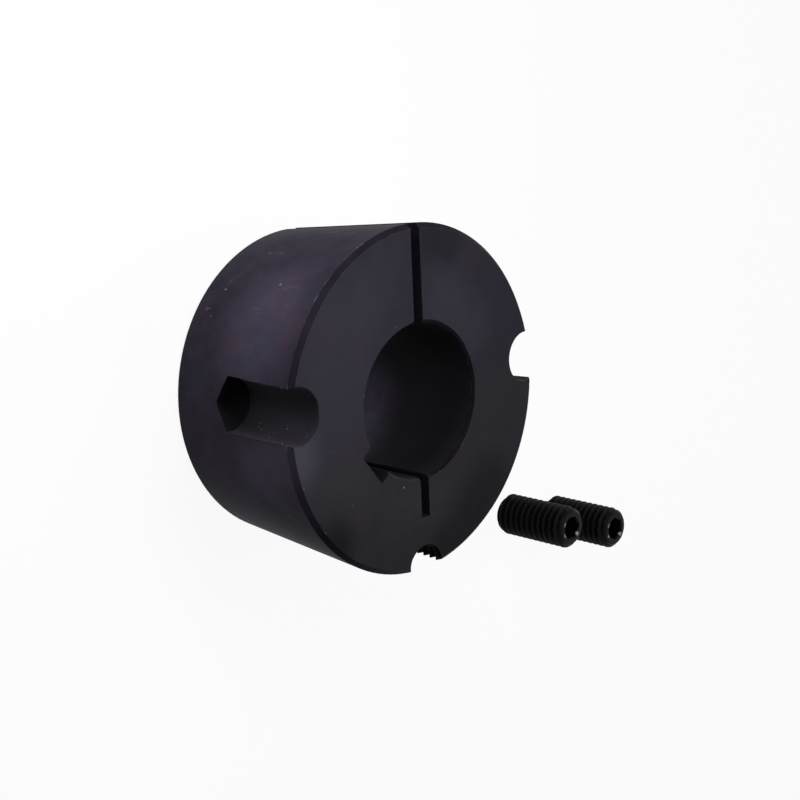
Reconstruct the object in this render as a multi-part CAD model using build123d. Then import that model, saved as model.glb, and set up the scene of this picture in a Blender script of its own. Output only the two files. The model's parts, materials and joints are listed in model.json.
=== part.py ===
from build123d import *
import os
from math import cos, radians, sin, tan

# A split taper bush with its two grub screws, in millimetres.
# The bush stands on its small end: its axis is +Z, and the large end face is on top.
# The origin is on the axis, at the small end face. The split is on +Y.

# ---------------------------------------------------------------- bush body
length = 44.45
large_end_diameter = 85.7
taper_half_angle = 4.0
large_end_chamfer = 1.2
small_end_chamfer = 0.85

# ---------------------------------------------------------------- bore
bore_diameter = 38.1
bore_chamfer = 0.75
keyway_width = 9.525
keyway_depth = 3.175
keyway_angle = 217.5

# ---------------------------------------------------------------- saw cuts
split_width = 3.0
relief_width = 2.85
relief_depth = 10.25

# ---------------------------------------------------------------- grub screws
screw_diameter = 12.7
screw_length = 25.4
screw_end_chamfer = 1.35
thread_pitch = 2.117
thread_depth = 0.95
thread_run_out = 0.2
socket_across_flats = 6.35
socket_depth = 9.5
socket_mouth_chamfer = 0.45
first_screw_standoff = (41.5, 15.8)
screw_spacing = (22.5, 6.2)
socket_turns = (0.0, 30.0)

# ---------------------------------------------------------------- half-holes
drill_point_angle = 118.0
fixing_hole_clearance = 0.25
fixing_hole_inset = 2.45
fixing_hole_angle = 84.2
fixing_hole_depth = 23.7
fixing_mouth_chamfer = 0.2
jacking_hole_inset = 0.55
jacking_hole_depth = 30.0

# ---------------------------------------------------------------- worked out
overshoot = 5.0
bore_radius = bore_diameter / 2
large_end_radius = large_end_diameter / 2
rim_height = length - large_end_chamfer
split_angle = 90.0
relief_angle = split_angle + 180.0
fixing_hole_diameter = screw_diameter + 2 * fixing_hole_clearance


def barrel_radius(height):
    """Return the radius of the tapered barrel at a height above the small end."""
    return large_end_radius - (rim_height - height) * tan(radians(taper_half_angle))


def revolved(points):
    """Return the solid that a closed outline of (radius, height) points sweeps round Z."""
    outline = Plane.XZ * Polyline(*points, close=True)
    return revolve(make_face(outline), Axis.Z)


def bush_blank():
    """Return the turned body: tapered barrel, bore and broken edges."""
    foot_radius = barrel_radius(small_end_chamfer)
    return revolved([
        (bore_radius + bore_chamfer, 0),
        (foot_radius - small_end_chamfer, 0),
        (foot_radius, small_end_chamfer),
        (large_end_radius, rim_height),
        (large_end_radius - large_end_chamfer, length),
        (bore_radius + bore_chamfer, length),
        (bore_radius, length - bore_chamfer),
        (bore_radius, bore_chamfer),
    ])


def radial_cut(width, reach, angle):
    """Return a full-length slot from the axis out to a reach, turned to an angle."""
    height = length + 2 * overshoot
    slot = Box(reach, width, height, align=(Align.MIN, Align.CENTER, Align.CENTER))
    return Rot(0, 0, angle) * Pos(0, 0, length / 2) * slot


def drilled(diameter, depth, mouth_chamfer):
    """Return a drill's cut below z = 0, with its point and its broken mouth."""
    radius = diameter / 2
    point = radius / tan(radians(drill_point_angle / 2))
    return revolved([
        (0, overshoot),
        (radius + mouth_chamfer + overshoot, overshoot),
        (radius, -mouth_chamfer),
        (radius, -depth),
        (0, -depth - point),
    ])


def half_hole(cut, inset, angle):
    """Return a cut that runs down the rim from the large end face."""
    centre = large_end_radius - inset
    x = centre * cos(radians(angle))
    y = centre * sin(radians(angle))
    return Pos(x, y, length) * cut


def taper_bush():
    """Return the bush: one piece, split through its wall at one place."""
    fixing_cut = drilled(fixing_hole_diameter, fixing_hole_depth, fixing_mouth_chamfer)
    jacking_cut = drilled(screw_diameter, jacking_hole_depth, 0)
    bush = bush_blank()
    bush -= radial_cut(split_width, large_end_radius + overshoot, split_angle)
    bush -= radial_cut(relief_width, bore_radius + relief_depth, relief_angle)
    bush -= radial_cut(keyway_width, bore_radius + keyway_depth, keyway_angle)
    for side in (-1, 1):
        angle = split_angle + side * fixing_hole_angle
        bush -= half_hole(fixing_cut, fixing_hole_inset, angle)
    bush -= half_hole(jacking_cut, jacking_hole_inset, relief_angle)
    return bush


def thread_outline(radius):
    """Return the outline of a row of V grooves, which stand for the screw's helix."""
    span = screw_length - 2 * (screw_end_chamfer + thread_run_out)
    grooves = int(span / thread_pitch)
    lowest_crest = (screw_length - grooves * thread_pitch) / 2
    outline = [(radius, lowest_crest)]
    for number in range(grooves):
        crest = lowest_crest + number * thread_pitch
        outline.append((radius - thread_depth, crest + thread_pitch / 2))
        outline.append((radius, crest + thread_pitch))
    return outline


def grub_screw(socket_turn):
    """Return one grub screw on its end at the origin, with its hexagon socket on top."""
    radius = screw_diameter / 2
    shank = revolved([
        (0, 0),
        (radius - screw_end_chamfer, 0),
        (radius, screw_end_chamfer),
        *thread_outline(radius),
        (radius, screw_length - screw_end_chamfer),
        (radius - screw_end_chamfer, screw_length),
        (0, screw_length),
    ])
    flats_radius = socket_across_flats / 2
    corner_radius = flats_radius / cos(radians(30))
    hexagon = RegularPolygon(corner_radius, 6, rotation=socket_turn)
    prism = extrude(hexagon, socket_depth)
    drill = drilled(socket_across_flats, socket_depth, socket_mouth_chamfer)
    socket = Pos(0, 0, screw_length - socket_depth) * prism
    return shank - socket - Pos(0, 0, screw_length) * drill


def beside_bush(screw, place):
    """Return a screw moved to its place in the row that stands beside the bush."""
    x = large_end_radius + first_screw_standoff[0] + place * screw_spacing[0]
    y = large_end_radius + first_screw_standoff[1] + place * screw_spacing[1]
    return Pos(x, -y, 0) * screw


os.makedirs("parts", exist_ok=True)
export_step(taper_bush(), "parts/taper_bush.step")
for place, turn in enumerate(socket_turns):
    screw = beside_bush(grub_screw(turn), place)
    export_step(screw, f"parts/grub_screw_{place + 1}.step")
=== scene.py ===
"""A blackened split taper bush and its two grub screws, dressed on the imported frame.

Sizes are in metres, in the frame's own axes. The bush stands on its small end with
its axis on +Z. Its split is on +Y, and its relief slot and jacking hole are on -Y.
"""

import json
import logging
import math
from dataclasses import dataclass
from enum import Enum
from typing import Callable, Dict, List, Optional, Sequence, Tuple, Union

import bmesh
import bpy
from mathutils import Matrix, Vector


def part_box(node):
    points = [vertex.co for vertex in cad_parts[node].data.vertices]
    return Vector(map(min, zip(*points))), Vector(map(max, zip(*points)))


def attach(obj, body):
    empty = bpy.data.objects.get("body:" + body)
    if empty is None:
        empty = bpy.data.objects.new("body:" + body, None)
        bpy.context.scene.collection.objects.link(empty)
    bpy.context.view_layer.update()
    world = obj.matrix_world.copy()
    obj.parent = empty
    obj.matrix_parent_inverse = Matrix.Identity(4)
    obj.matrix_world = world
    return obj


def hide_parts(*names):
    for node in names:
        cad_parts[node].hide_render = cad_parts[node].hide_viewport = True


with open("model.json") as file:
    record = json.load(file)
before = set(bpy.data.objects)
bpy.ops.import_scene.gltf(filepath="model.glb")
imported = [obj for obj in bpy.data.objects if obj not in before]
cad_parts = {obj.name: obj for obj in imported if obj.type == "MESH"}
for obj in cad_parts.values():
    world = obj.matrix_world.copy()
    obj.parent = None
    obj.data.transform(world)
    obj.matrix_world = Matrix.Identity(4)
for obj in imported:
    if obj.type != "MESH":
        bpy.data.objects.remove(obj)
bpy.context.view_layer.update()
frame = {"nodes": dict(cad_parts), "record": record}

MM = 0.001
BODY = "root"
log = logging.getLogger("taper_bush")

Point = Tuple[float, float, float]
Colour = Tuple[int, int, int]
Value = Union[float, "Socket"]
Settings = Optional[Dict[str, object]]
Inputs = Optional[Dict[Union[str, int], object]]
Span = Tuple[float, float]
Ring = Callable[[float], Tuple[float, float]]

# The attributes that mark a thread's corners and the broken edges.
THREADED = "threaded"
WORN = "worn"
# Corners nearer than a weld are one. A hair is the least gap, and a fade a soft edge.
WELD = 0.001 * MM
HAIR = 0.02 * MM
FADE = 0.2 * MM
WHITE = (1.0, 1.0, 1.0, 1.0)
SOCKET_KINDS = (
    (bpy.types.Material, "NodeSocketMaterial"),
    (int, "NodeSocketInt"),
    (float, "NodeSocketFloat"),
)


class Slot(Enum):
    """The record's material slots."""

    IRON = "black_iron"
    STEEL = "black_steel"


def tone(colour: Colour) -> Tuple[float, float, float, float]:
    """Turn a display colour into the linear one that shaders take.

    Args:
        colour: Red, green and blue, from 0 to 255.

    Returns:
        Linear red, green and blue, and an alpha of 1.
    """
    def linear(level: int) -> float:
        """Undo the display curve of one channel."""
        share = level / 255
        return share / 12.92 if share <= 0.04045 else ((share + 0.055) / 1.055) ** 2.4

    return (*map(linear, colour), 1.0)


# ------------------------------------------------------------------ node maths


def operator(operation: str, swapped: bool = False) -> Callable[["Socket", Value], "Socket"]:
    """Make a method of Socket that adds a Math node.

    Args:
        operation: The node's operation.
        swapped: Whether the other value comes first, as in 1 - mask.

    Returns:
        The method.
    """
    def apply(self: "Socket", other: Value) -> "Socket":
        """Add the node on this value and another."""
        values = (other, self) if swapped else (self, other)
        return self.graph.maths(operation, *values)

    return apply


class Socket:
    """One output of a node, so that node maths reads as plain Python."""

    def __init__(self, graph: "Graph", output: bpy.types.NodeSocket) -> None:
        """Wrap an output.

        Args:
            graph: The graph that the node is in.
            output: The node's output.
        """
        self.graph = graph
        self.output = output

    __add__ = __radd__ = operator("ADD")
    __sub__ = operator("SUBTRACT")
    __rsub__ = operator("SUBTRACT", swapped=True)
    __mul__ = __rmul__ = operator("MULTIPLY")
    __truediv__ = operator("DIVIDE")
    __rtruediv__ = operator("DIVIDE", swapped=True)
    at_most = operator("MINIMUM")
    at_least = operator("MAXIMUM")

    def __neg__(self) -> "Socket":
        """Change the sign."""
        return self * -1.0

    def __abs__(self) -> "Socket":
        """Take the size without the sign."""
        return self.graph.maths("ABSOLUTE", self)


class Graph:
    """A node tree that is written as expressions."""

    def __init__(self, tree: bpy.types.NodeTree) -> None:
        """Wrap a tree, emptied of its nodes.

        Args:
            tree: A material's or a modifier's node tree.
        """
        self.tree = tree
        self.tree.nodes.clear()

    def add(self, kind: str, settings: Settings = None, inputs: Inputs = None) -> bpy.types.Node:
        """Add a node, set it up and link it.

        Args:
            kind: The node's type.
            settings: Its properties, which are set first.
            inputs: Values or sockets by input name or number.

        Returns:
            The node.
        """
        made = self.tree.nodes.new(kind)
        for name, value in (settings or {}).items():
            setattr(made, name, value)
        for key, value in (inputs or {}).items():
            if isinstance(value, Socket):
                self.tree.links.new(value.output, made.inputs[key])
            else:
                made.inputs[key].default_value = value
        return made

    def node(
        self,
        kind: str,
        settings: Settings = None,
        inputs: Inputs = None,
        output: Union[str, int] = 0,
    ) -> Socket:
        """Add a node and take one of its outputs.

        Args:
            kind: The node's type.
            settings: Its properties.
            inputs: Values or sockets by input name or number.
            output: The output's name or number.

        Returns:
            The output.
        """
        return Socket(self, self.add(kind, settings, inputs).outputs[output])

    def maths(self, operation: str, *values: Value) -> Socket:
        """Add a Math node on one to three values."""
        return self.node("ShaderNodeMath", {"operation": operation}, dict(enumerate(values)))

    def smooth(self, value: Value, low: float, high: float) -> Socket:
        """Rise smoothly from 0 at low to 1 at high, or fall where low is higher."""
        ends = {"Value": value, "From Min": low, "From Max": high}
        return self.node("ShaderNodeMapRange", {"interpolation_type": "SMOOTHSTEP"}, ends)

    def between(self, value: Value, low: float, high: float, edge: float) -> Socket:
        """Give 1 inside a span and 0 outside it, with edges of a given width."""
        return self.smooth(value, low - edge, low) * self.smooth(value, high + edge, high)

    def blend(self, first: object, second: object, share: Value) -> Socket:
        """Mix two colours by a share of the second."""
        inputs = {0: share, 6: first, 7: second}
        return self.node("ShaderNodeMix", {"data_type": "RGBA"}, inputs, output=2)

    def dim(self, colour: object, factor: Value) -> Socket:
        """Scale a colour or a vector."""
        inputs = {0: colour, "Scale": factor}
        return self.node("ShaderNodeVectorMath", {"operation": "SCALE"}, inputs)

    def axes(self, vector: Socket) -> Tuple[Socket, Socket, Socket]:
        """Split a vector into its three parts."""
        parts = self.add("ShaderNodeSeparateXYZ", inputs={0: vector}).outputs
        return tuple(Socket(self, part) for part in parts)

    def vector(self, x: Value, y: Value, z: Value) -> Socket:
        """Join three values into a vector."""
        return self.node("ShaderNodeCombineXYZ", inputs={0: x, 1: y, 2: z})

    def noise(self, place: Socket, scale: float, detail: float = 3.0) -> Socket:
        """Add noise at a scale, in turns to the metre."""
        inputs = {"Vector": place, "Scale": scale, "Detail": detail}
        return self.node("ShaderNodeTexNoise", inputs=inputs)

    def length(self, x: Value, y: Value) -> Socket:
        """Give the length of a flat vector."""
        return self.maths("SQRT", x * x + y * y)

    def vectors(self, operation: str, *values: object, output: int = 0) -> Socket:
        """Add a Vector Math node; output 1 is a number, as a length or a dot product is."""
        inputs = dict(enumerate(values))
        return self.node("ShaderNodeVectorMath", {"operation": operation}, inputs, output)

    def show(self, surface: Socket) -> None:
        """End a material's tree with a surface."""
        self.add("ShaderNodeOutputMaterial", inputs={"Surface": surface})


class GrownTree(Graph):
    """A Geometry Nodes tree with a named input for each value that it is given."""

    def __init__(self, name: str, values: Dict[str, object]) -> None:
        """Start the tree with its inputs.

        Args:
            name: The tree's name.
            values: What the modifier will set, by input name. The last is the finish.
        """
        super().__init__(bpy.data.node_groups.new(name, "GeometryNodeTree"))
        self.values = values
        kinds = {"Geometry": "NodeSocketGeometry"}
        for label, value in values.items():
            kinds[label] = next(kind for sort, kind in SOCKET_KINDS if isinstance(value, sort))
        for label, kind in kinds.items():
            self.tree.interface.new_socket(label, in_out="INPUT", socket_type=kind)
        entry = self.add("NodeGroupInput").outputs
        self.inputs = [Socket(self, entry[label]) for label in kinds]

    def finish(self, piece: bpy.types.Object, shape: Socket) -> None:
        """End the tree and put it on a piece as a modifier.

        Args:
            piece: The object that it shapes.
            shape: The new geometry, which gets the finish.
        """
        real = self.node("GeometryNodeRealizeInstances", inputs={0: shape})
        inputs = {"Geometry": real, "Material": self.inputs[-1]}
        dressed = self.node("GeometryNodeSetMaterial", inputs=inputs)
        interface = self.tree.interface
        interface.new_socket("Geometry", in_out="OUTPUT", socket_type="NodeSocketGeometry")
        self.add("NodeGroupOutput", inputs={"Geometry": dressed})
        modifier = piece.modifiers.new("nodes", "NODES")
        modifier.node_group = self.tree
        for item in interface.items_tree:
            if item.in_out == "INPUT" and item.name in self.values:
                modifier[item.identifier] = self.values[item.name]


# ------------------------------------------------------------------ sizes

DRILL_HALF_ANGLE = math.radians(59.0)
DRILL_SLANT = math.tan(DRILL_HALF_ANGLE)
KEYWAY_TURN = 217.5
SOCKET_TURNS = {"grub_screw_1": 0.0, "grub_screw_2": 30.0}


@dataclass(frozen=True)
class TurnedFace:
    """A cylinder or a cone round an upright axis, told by one circle and its lean.

    The lean is the angle by which the face's outward normal rises above the level.
    """

    centre: Tuple[float, float]
    radius: float
    height: float
    lean: float
    inward: bool = False

    def normal(self, point: Vector) -> Vector:
        """Give the true normal at a point of the face.

        Args:
            point: The point.

        Returns:
            The normal, which points out of the metal.
        """
        out = Vector((point.x - self.centre[0], point.y - self.centre[1], 0.0)).normalized()
        if self.inward:
            out.negate()
        return out * math.cos(self.lean) + Vector((0.0, 0.0, math.sin(self.lean)))

    def distance(self, point: Vector) -> float:
        """Give how far a point is from the face.

        Args:
            point: The point.

        Returns:
            The distance.
        """
        reach = math.hypot(point.x - self.centre[0], point.y - self.centre[1]) - self.radius
        level = -reach if self.inward else reach
        rise = (point.z - self.height) * math.sin(self.lean)
        return abs(level * math.cos(self.lean) + rise)


@dataclass(frozen=True)
class HalfHole:
    """A drilled half-hole: its middle on the large end face, its radius and its depth."""

    seat: Point
    radius: float
    depth: float

    @property
    def centre(self) -> Tuple[float, float]:
        """Where its axis stands."""
        return self.seat[:2]


@dataclass(frozen=True)
class BushSizes:
    """The bush's sizes, read from the frame or known from its drawing."""

    top: float
    bore_radius: float
    fixing_holes: Tuple[HalfHole, HalfHole]
    jacking_hole: HalfHole
    rim_radius: float = 42.85 * MM
    rim_chamfer: float = 1.2 * MM
    foot_chamfer: float = 0.85 * MM
    bore_chamfer: float = 0.75 * MM
    taper: float = math.radians(4.0)
    fixing_chamfer: float = 0.2 * MM
    split_width: float = 3.0 * MM
    relief_reach: float = 29.3 * MM
    keyway_width: float = 9.525 * MM
    keyway_depth: float = 3.175 * MM

    @property
    def rim_height(self) -> float:
        """Height of the widest circle, under the rim's chamfer."""
        return self.top - self.rim_chamfer

    def barrel_radius(self, height: float) -> float:
        """Radius of the barrel at a height."""
        return self.rim_radius - (self.rim_height - height) * math.tan(self.taper)

    @staticmethod
    def _polar(radius: float, degrees: float, height: float) -> Point:
        """Give the point at a radius and an angle round the bush's axis."""
        turn = math.radians(degrees)
        return (radius * math.cos(turn), radius * math.sin(turn), height)

    def barrel_point(self, degrees: float, height_mm: float) -> Point:
        """Give a point of the barrel, by its angle and its height in millimetres."""
        height = height_mm * MM
        return self._polar(self.barrel_radius(height), degrees, height)

    def face_point(self, radius_mm: float, degrees: float) -> Point:
        """Give a point of the large end's face, by its radius in millimetres and its angle."""
        return self._polar(radius_mm * MM, degrees, self.top)

    def bore_point(self, degrees: float, height_mm: float) -> Point:
        """Give a point of the bore's wall, by its angle and its height in millimetres."""
        return self._polar(self.bore_radius, degrees, height_mm * MM)

    def lip(self, hole: HalfHole, height: float, upper: bool) -> Vector:
        """Find where a fixing half-hole breaks out through the barrel.

        Args:
            hole: The half-hole.
            height: The height to find it at.
            upper: Whether to take the side towards the split.

        Returns:
            The point on the barrel.
        """
        reach = math.hypot(*hole.centre)
        barrel = self.barrel_radius(height)
        along = (reach**2 + barrel**2 - hole.radius**2) / (2 * reach)
        across = math.sqrt(barrel**2 - along**2)
        out = Vector((*hole.centre, 0.0)) / reach
        side = Vector((-out.y, out.x, 0.0))
        if (side.y > 0) != upper:
            side.negate()
        return out * along + side * across + Vector((0.0, 0.0, height))

    def turned_faces(self) -> List[TurnedFace]:
        """List every face that a lathe or a drill leaves.

        Returns:
            The faces.
        """
        slope = math.radians(45)
        axis = (0.0, 0.0)
        foot = self.barrel_radius(self.foot_chamfer)
        mouth = self.bore_radius + self.bore_chamfer
        faces = [
            TurnedFace(axis, self.rim_radius, self.rim_height, -self.taper),
            TurnedFace(axis, self.rim_radius, self.rim_height, slope),
            TurnedFace(axis, foot, self.foot_chamfer, -slope),
            TurnedFace(axis, self.bore_radius, 0.0, 0.0, inward=True),
            TurnedFace(axis, mouth, self.top, slope, inward=True),
            TurnedFace(axis, mouth, 0.0, -slope, inward=True),
        ]
        for hole in (*self.fixing_holes, self.jacking_hole):
            bottom = self.top - hole.depth
            for lean in (0.0, DRILL_HALF_ANGLE):
                faces.append(TurnedFace(hole.centre, hole.radius, bottom, lean, inward=True))
        for hole in self.fixing_holes:
            mouth = hole.radius + self.fixing_chamfer
            faces.append(TurnedFace(hole.centre, mouth, self.top, slope, inward=True))
        return faces


def bush_sizes() -> BushSizes:
    """Read from the frame and its record the sizes that pieces and finishes share.

    Returns:
        The bush's sizes.
    """
    mounts = {mount["name"]: mount for mount in frame["record"]["mounts"]}

    def hole(name: str, radius: float, depth: float) -> HalfHole:
        """Set a half-hole on its seat."""
        return HalfHole(tuple(map(float, mounts[name]["pos_m"])), radius, depth)

    return BushSizes(
        top=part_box("taper_bush")[1].z,
        bore_radius=mounts["bore"]["dims"]["r_mm"] * MM,
        fixing_holes=(
            hole("fixing_seat_left", 6.6 * MM, 23.7 * MM),
            hole("fixing_seat_right", 6.6 * MM, 23.7 * MM),
        ),
        jacking_hole=hole("jacking_seat", 6.35 * MM, 30.0 * MM),
    )


# ------------------------------------------------------------------ finishes

# Each row is a mark in the black: its two ends, half its width in millimetres, and its
# strength, which is how bare a scuff is or how much lighter a patch of painted light is. An
# end is a turn in degrees and a height on the barrel, and a radius and a turn on the large end's
# face.
BARREL_SCUFFS = (
    (135.2, 8.2, 135.2, 8.4, 0.45, 0.62),
    (132.5, 7.9, 127.7, 10.4, 1.30, 0.07),
    (117.0, 13.4, 117.0, 13.8, 0.42, 0.34),
    (117.2, 17.8, 116.8, 19.0, 0.80, 0.13),
    (132.3, 27.6, 132.3, 27.9, 0.42, 0.85),
    (134.4, 29.8, 132.6, 33.0, 0.90, 0.13),
    (141.9, 22.6, 142.0, 26.1, 0.30, 0.12),
    (143.4, 24.1, 143.4, 26.4, 0.26, 0.10),
    (140.2, 34.0, 140.2, 34.4, 0.40, 0.16),
    (143.4, 4.6, 143.0, 6.2, 0.60, 0.16),
    (145.5, 7.2, 146.0, 8.4, 0.50, 0.16),
    (102.0, 22.8, 101.4, 26.0, 0.85, 0.16),
    (104.0, 31.8, 103.2, 33.6, 0.70, 0.12),
    (-149.8, 35.2, -149.8, 35.6, 0.32, 0.28),
    (166.0, 42.9, 164.6, 43.2, 0.34, 0.16),
    (-177.6, 43.2, -175.8, 43.2, 0.50, 0.20),
    (137.8, 42.9, 135.4, 43.1, 0.26, 0.34),
    (131.9, 42.9, 129.6, 43.1, 0.26, 0.30),
    (117.4, 42.9, 112.0, 43.1, 0.28, 0.32),
)
FACE_SCUFFS = (
    (21.3, -110.4, 21.3, -110.0, 0.34, 0.95),
    (20.9, 112.3, 20.8, 111.7, 0.28, 0.16),
    (32.3, -170.6, 31.2, -169.3, 0.34, 0.10),
    (31.9, -140.9, 31.9, -140.4, 0.30, 0.14),
    (41.3, -162.9, 41.4, -162.2, 0.30, 0.30),
    (41.5, -144.4, 41.6, -143.9, 0.32, 0.34),
    (19.4, 166.4, 19.9, 165.8, 0.34, 0.36),
    (19.5, -73.8, 19.9, -73.2, 0.30, 0.26),
)
# Painted highlights and painted shade on the barrel: soft patches that make the black lighter or,
# below 0, darker.
BARREL_PAINTED_LIGHT = (
    (143, 28, 154, 28, 19, 1.15),
    (-173, 42, -166, 31, 12, 1.3),
    (178, 6, -160, 24, 20, 0.2),
    (-144, 30, -137, 43, 11, -0.6),
    (105, 15, 105, 36, 10, -0.22),
)
# Painted highlights and painted shade on the large end's face.
FACE_PAINTED_LIGHT = (
    (31, 140, 31, -174, 20, 0.28),
    (24, 42, 25, 66, 12, 0.34),
    (29, -142, 30, -136, 10, 0.12),
    (36, -48, 39, -76, 13, -0.45),
    (37, -95, 38, -118, 17, -0.08),
    (28, -112, 28, -76, 9, 0.16),
    (33, 112, 33, 118, 10, 0.12),
    (39, 74, 39, 82, 9, -0.32),
)
# In the bore an end is a turn and a height: a spot of rust, and painted light deep in the bore.
RUST_SPOT = (57.5, 41.9, 57.5, 41.9, 0.9, 0.9)
DEEP_BORE_LIGHT = (-12, 6, -66, 9, 16, 1.0)
# The share of a mark's reach that has its full strength.
MARK_CORE = 0.15


@dataclass(frozen=True)
class Mark:
    """A mark along a line: its ends, half its width and how strong it is."""

    start: Point
    end: Point
    reach: float
    strength: float = 1.0

    @property
    def long(self) -> bool:
        """Whether it is a streak and not a dot."""
        return (Vector(self.end) - Vector(self.start)).length > self.reach


def marks(rows: Sequence[Sequence[float]], point: Callable[[float, float], Point]) -> List[Mark]:
    """Set out marks on a surface.

    Args:
        rows: Each mark's two ends, half its width in millimetres and its strength.
        point: What turns an end's two numbers into a point.

    Returns:
        The marks in order.
    """
    return [Mark(point(*row[:2]), point(*row[2:4]), row[4] * MM, row[5]) for row in rows]


@dataclass(frozen=True)
class Patches:
    """Soft patches out of noise: its scale and detail, and where they start and fill."""

    scale: float
    detail: float
    low: float
    high: float


def new_material(name: str) -> bpy.types.Material:
    """Start a material with a tree.

    Args:
        name: The material's name.

    Returns:
        The material.
    """
    made = bpy.data.materials.new(name)
    made.use_nodes = True
    return made


class Paint(Graph):
    """A finish's tree, which knows where the surface is in Object coordinates."""

    def __init__(self, name: str) -> None:
        """Start the finish's material.

        Args:
            name: The material's name.
        """
        self.made = new_material(name)
        super().__init__(self.made.node_tree)
        self.place = self.node("ShaderNodeTexCoord", output="Object")
        self.x, self.y, self.z = self.axes(self.place)

    def away(self, centre: Sequence[float]) -> Socket:
        """Give how far the surface is from an upright axis."""
        return self.length(self.x - centre[0], self.y - centre[1])

    def near(self, mark: Mark) -> Socket:
        """Give a mark's strength along its line, and 0 from its reach away.

        Args:
            mark: The mark, whose two ends may be the same point.

        Returns:
            The strength at the surface.
        """
        off = self.vectors("SUBTRACT", self.place, mark.start)
        span = Vector(mark.end) - Vector(mark.start)
        if span.length > WELD:
            along = self.vectors("DOT_PRODUCT", off, span / span.length_squared, output=1)
            foot = self.dim(span, along.at_least(0.0).at_most(1.0))
            off = self.vectors("SUBTRACT", off, foot)
        distance = self.vectors("LENGTH", off, output=1)
        return mark.strength * self.smooth(distance, mark.reach, MARK_CORE * mark.reach)

    def patches(self, kind: Patches, shift: Point = (0.0, 0.0, 0.0)) -> Socket:
        """Give 1 in soft patches of noise, and 0 between them.

        Args:
            kind: The noise, and where the patches start and fill.
            shift: How far the noise is moved.

        Returns:
            The share.
        """
        place = self.vectors("ADD", self.place, shift) if any(shift) else self.place
        return self.smooth(self.noise(place, kind.scale, kind.detail), kind.low, kind.high)

    def bump(self, height: Socket, strength: float, depth: float) -> Socket:
        """Turn a height, in shares of a depth, into a normal."""
        inputs = {"Strength": strength, "Distance": depth, "Height": height}
        return self.node("ShaderNodeBump", inputs=inputs)

    def principled(self, inputs: Dict[str, object]) -> bpy.types.Material:
        """End the tree with its one shader and give the material."""
        self.show(self.node("ShaderNodeBsdfPrincipled", inputs=inputs))
        return self.made


@dataclass(frozen=True)
class BlackIron:
    """Machined iron, blackened and oiled, as it is on every face of the bush.

    The shades are painted shade, the shares of light that the darker places lose, and some places
    get painted light. Speckle and cloud are how strong they are on the barrel, and how much less
    on the large end.
    """

    sizes: BushSizes
    barrel: Colour = (53, 48, 61)
    faced: Colour = (50, 48, 57)
    dull: Colour = (52, 51, 55)
    rosy: Colour = (57, 49, 60)
    slate: Colour = (50, 48, 61)
    # Painted shade: the darker grey laid over the bore.
    bore_shade_tone: Colour = (43, 42, 44)
    drilled: Colour = (55, 53, 59)
    bare: Colour = (150, 146, 156)
    rust: Colour = (74, 44, 34)
    drilled_share: float = 0.85
    bore_shade_share: float = 0.8
    rosy_share: float = 0.8
    slate_share: float = 0.75
    roughness: float = 0.54
    uneven_roughness: float = 0.12
    bare_gloss: float = 0.1
    specular: float = 0.02
    grain_scale: float = 2600.0
    grain_depth: float = 0.02 * MM
    grain_bump: float = 0.5
    speckle: Span = (0.7, 0.4)
    cloud: Span = (0.8, 0.55)
    cloud_scale: float = 240.0
    turning_pitch: float = 0.42 * MM
    turning_height: float = 0.12
    scuff_depth: float = 2.0
    face_evenness: float = 0.75
    rim_evenness: float = 0.8
    dull_way: Span = (0.205, 0.978)
    dull_span: Span = (-2 * MM, 7 * MM)
    slate_shift: Point = (0.3, 0.2, 0.1)
    rust_noise: Span = (1800.0, 2.0)
    # How much the painted light brightens the deep bore.
    bore_light_gain: float = 2.0
    edge_wear: float = 0.17
    foot_wear: float = 0.4
    foot_inset: Span = (5 * MM, 6 * MM)
    streak_wear: Span = (0.15, 1.6)
    least_wear: float = 0.35
    reddened: Patches = Patches(75.0, 3.0, 0.47, 0.62)
    cooled: Patches = Patches(95.0, 3.0, 0.50, 0.66)
    rubbed: Patches = Patches(420.0, 3.0, 0.46, 0.68)
    broken: Patches = Patches(1500.0, 4.0, 0.44, 0.66)
    ragged: Patches = Patches(3400.0, 2.0, 0.30, 0.52)
    # Painted shade: the share of light that each darker place loses.
    rim_shade: Span = (0.40, 0.16)
    rim_span: Span = (-24 * MM, -6 * MM)
    bore_shade: float = 0.3
    bore_span: Span = (24 * MM, 40 * MM)
    saw_shade: float = 0.6
    keyway_shade: float = 0.6
    bore_mouth_shade: float = 0.75
    bore_mouth_depths: Span = (0.95 * MM, 0.8 * MM)
    bore_mouth_span: Span = (-3 * MM, 5 * MM)
    jacking_shade: float = 0.55
    hole_mouth_shade: float = 0.4
    drill_point_shade: float = 0.68

    @property
    def scuffs(self) -> List[Mark]:
        """Where handling has scuffed the black off."""
        on_barrel = marks(BARREL_SCUFFS, self.sizes.barrel_point)
        return on_barrel + marks(FACE_SCUFFS, self.sizes.face_point)

    @property
    def painted_light(self) -> List[Mark]:
        """Painted highlights and shade: where the black is made lighter or, below 0, darker."""
        on_barrel = marks(BARREL_PAINTED_LIGHT, self.sizes.barrel_point)
        return on_barrel + marks(FACE_PAINTED_LIGHT, self.sizes.face_point)

    def material(self) -> bpy.types.Material:
        """Build the material, which reads Object coordinates and the worn edges' mark."""
        return IronShader(self).material()


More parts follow.
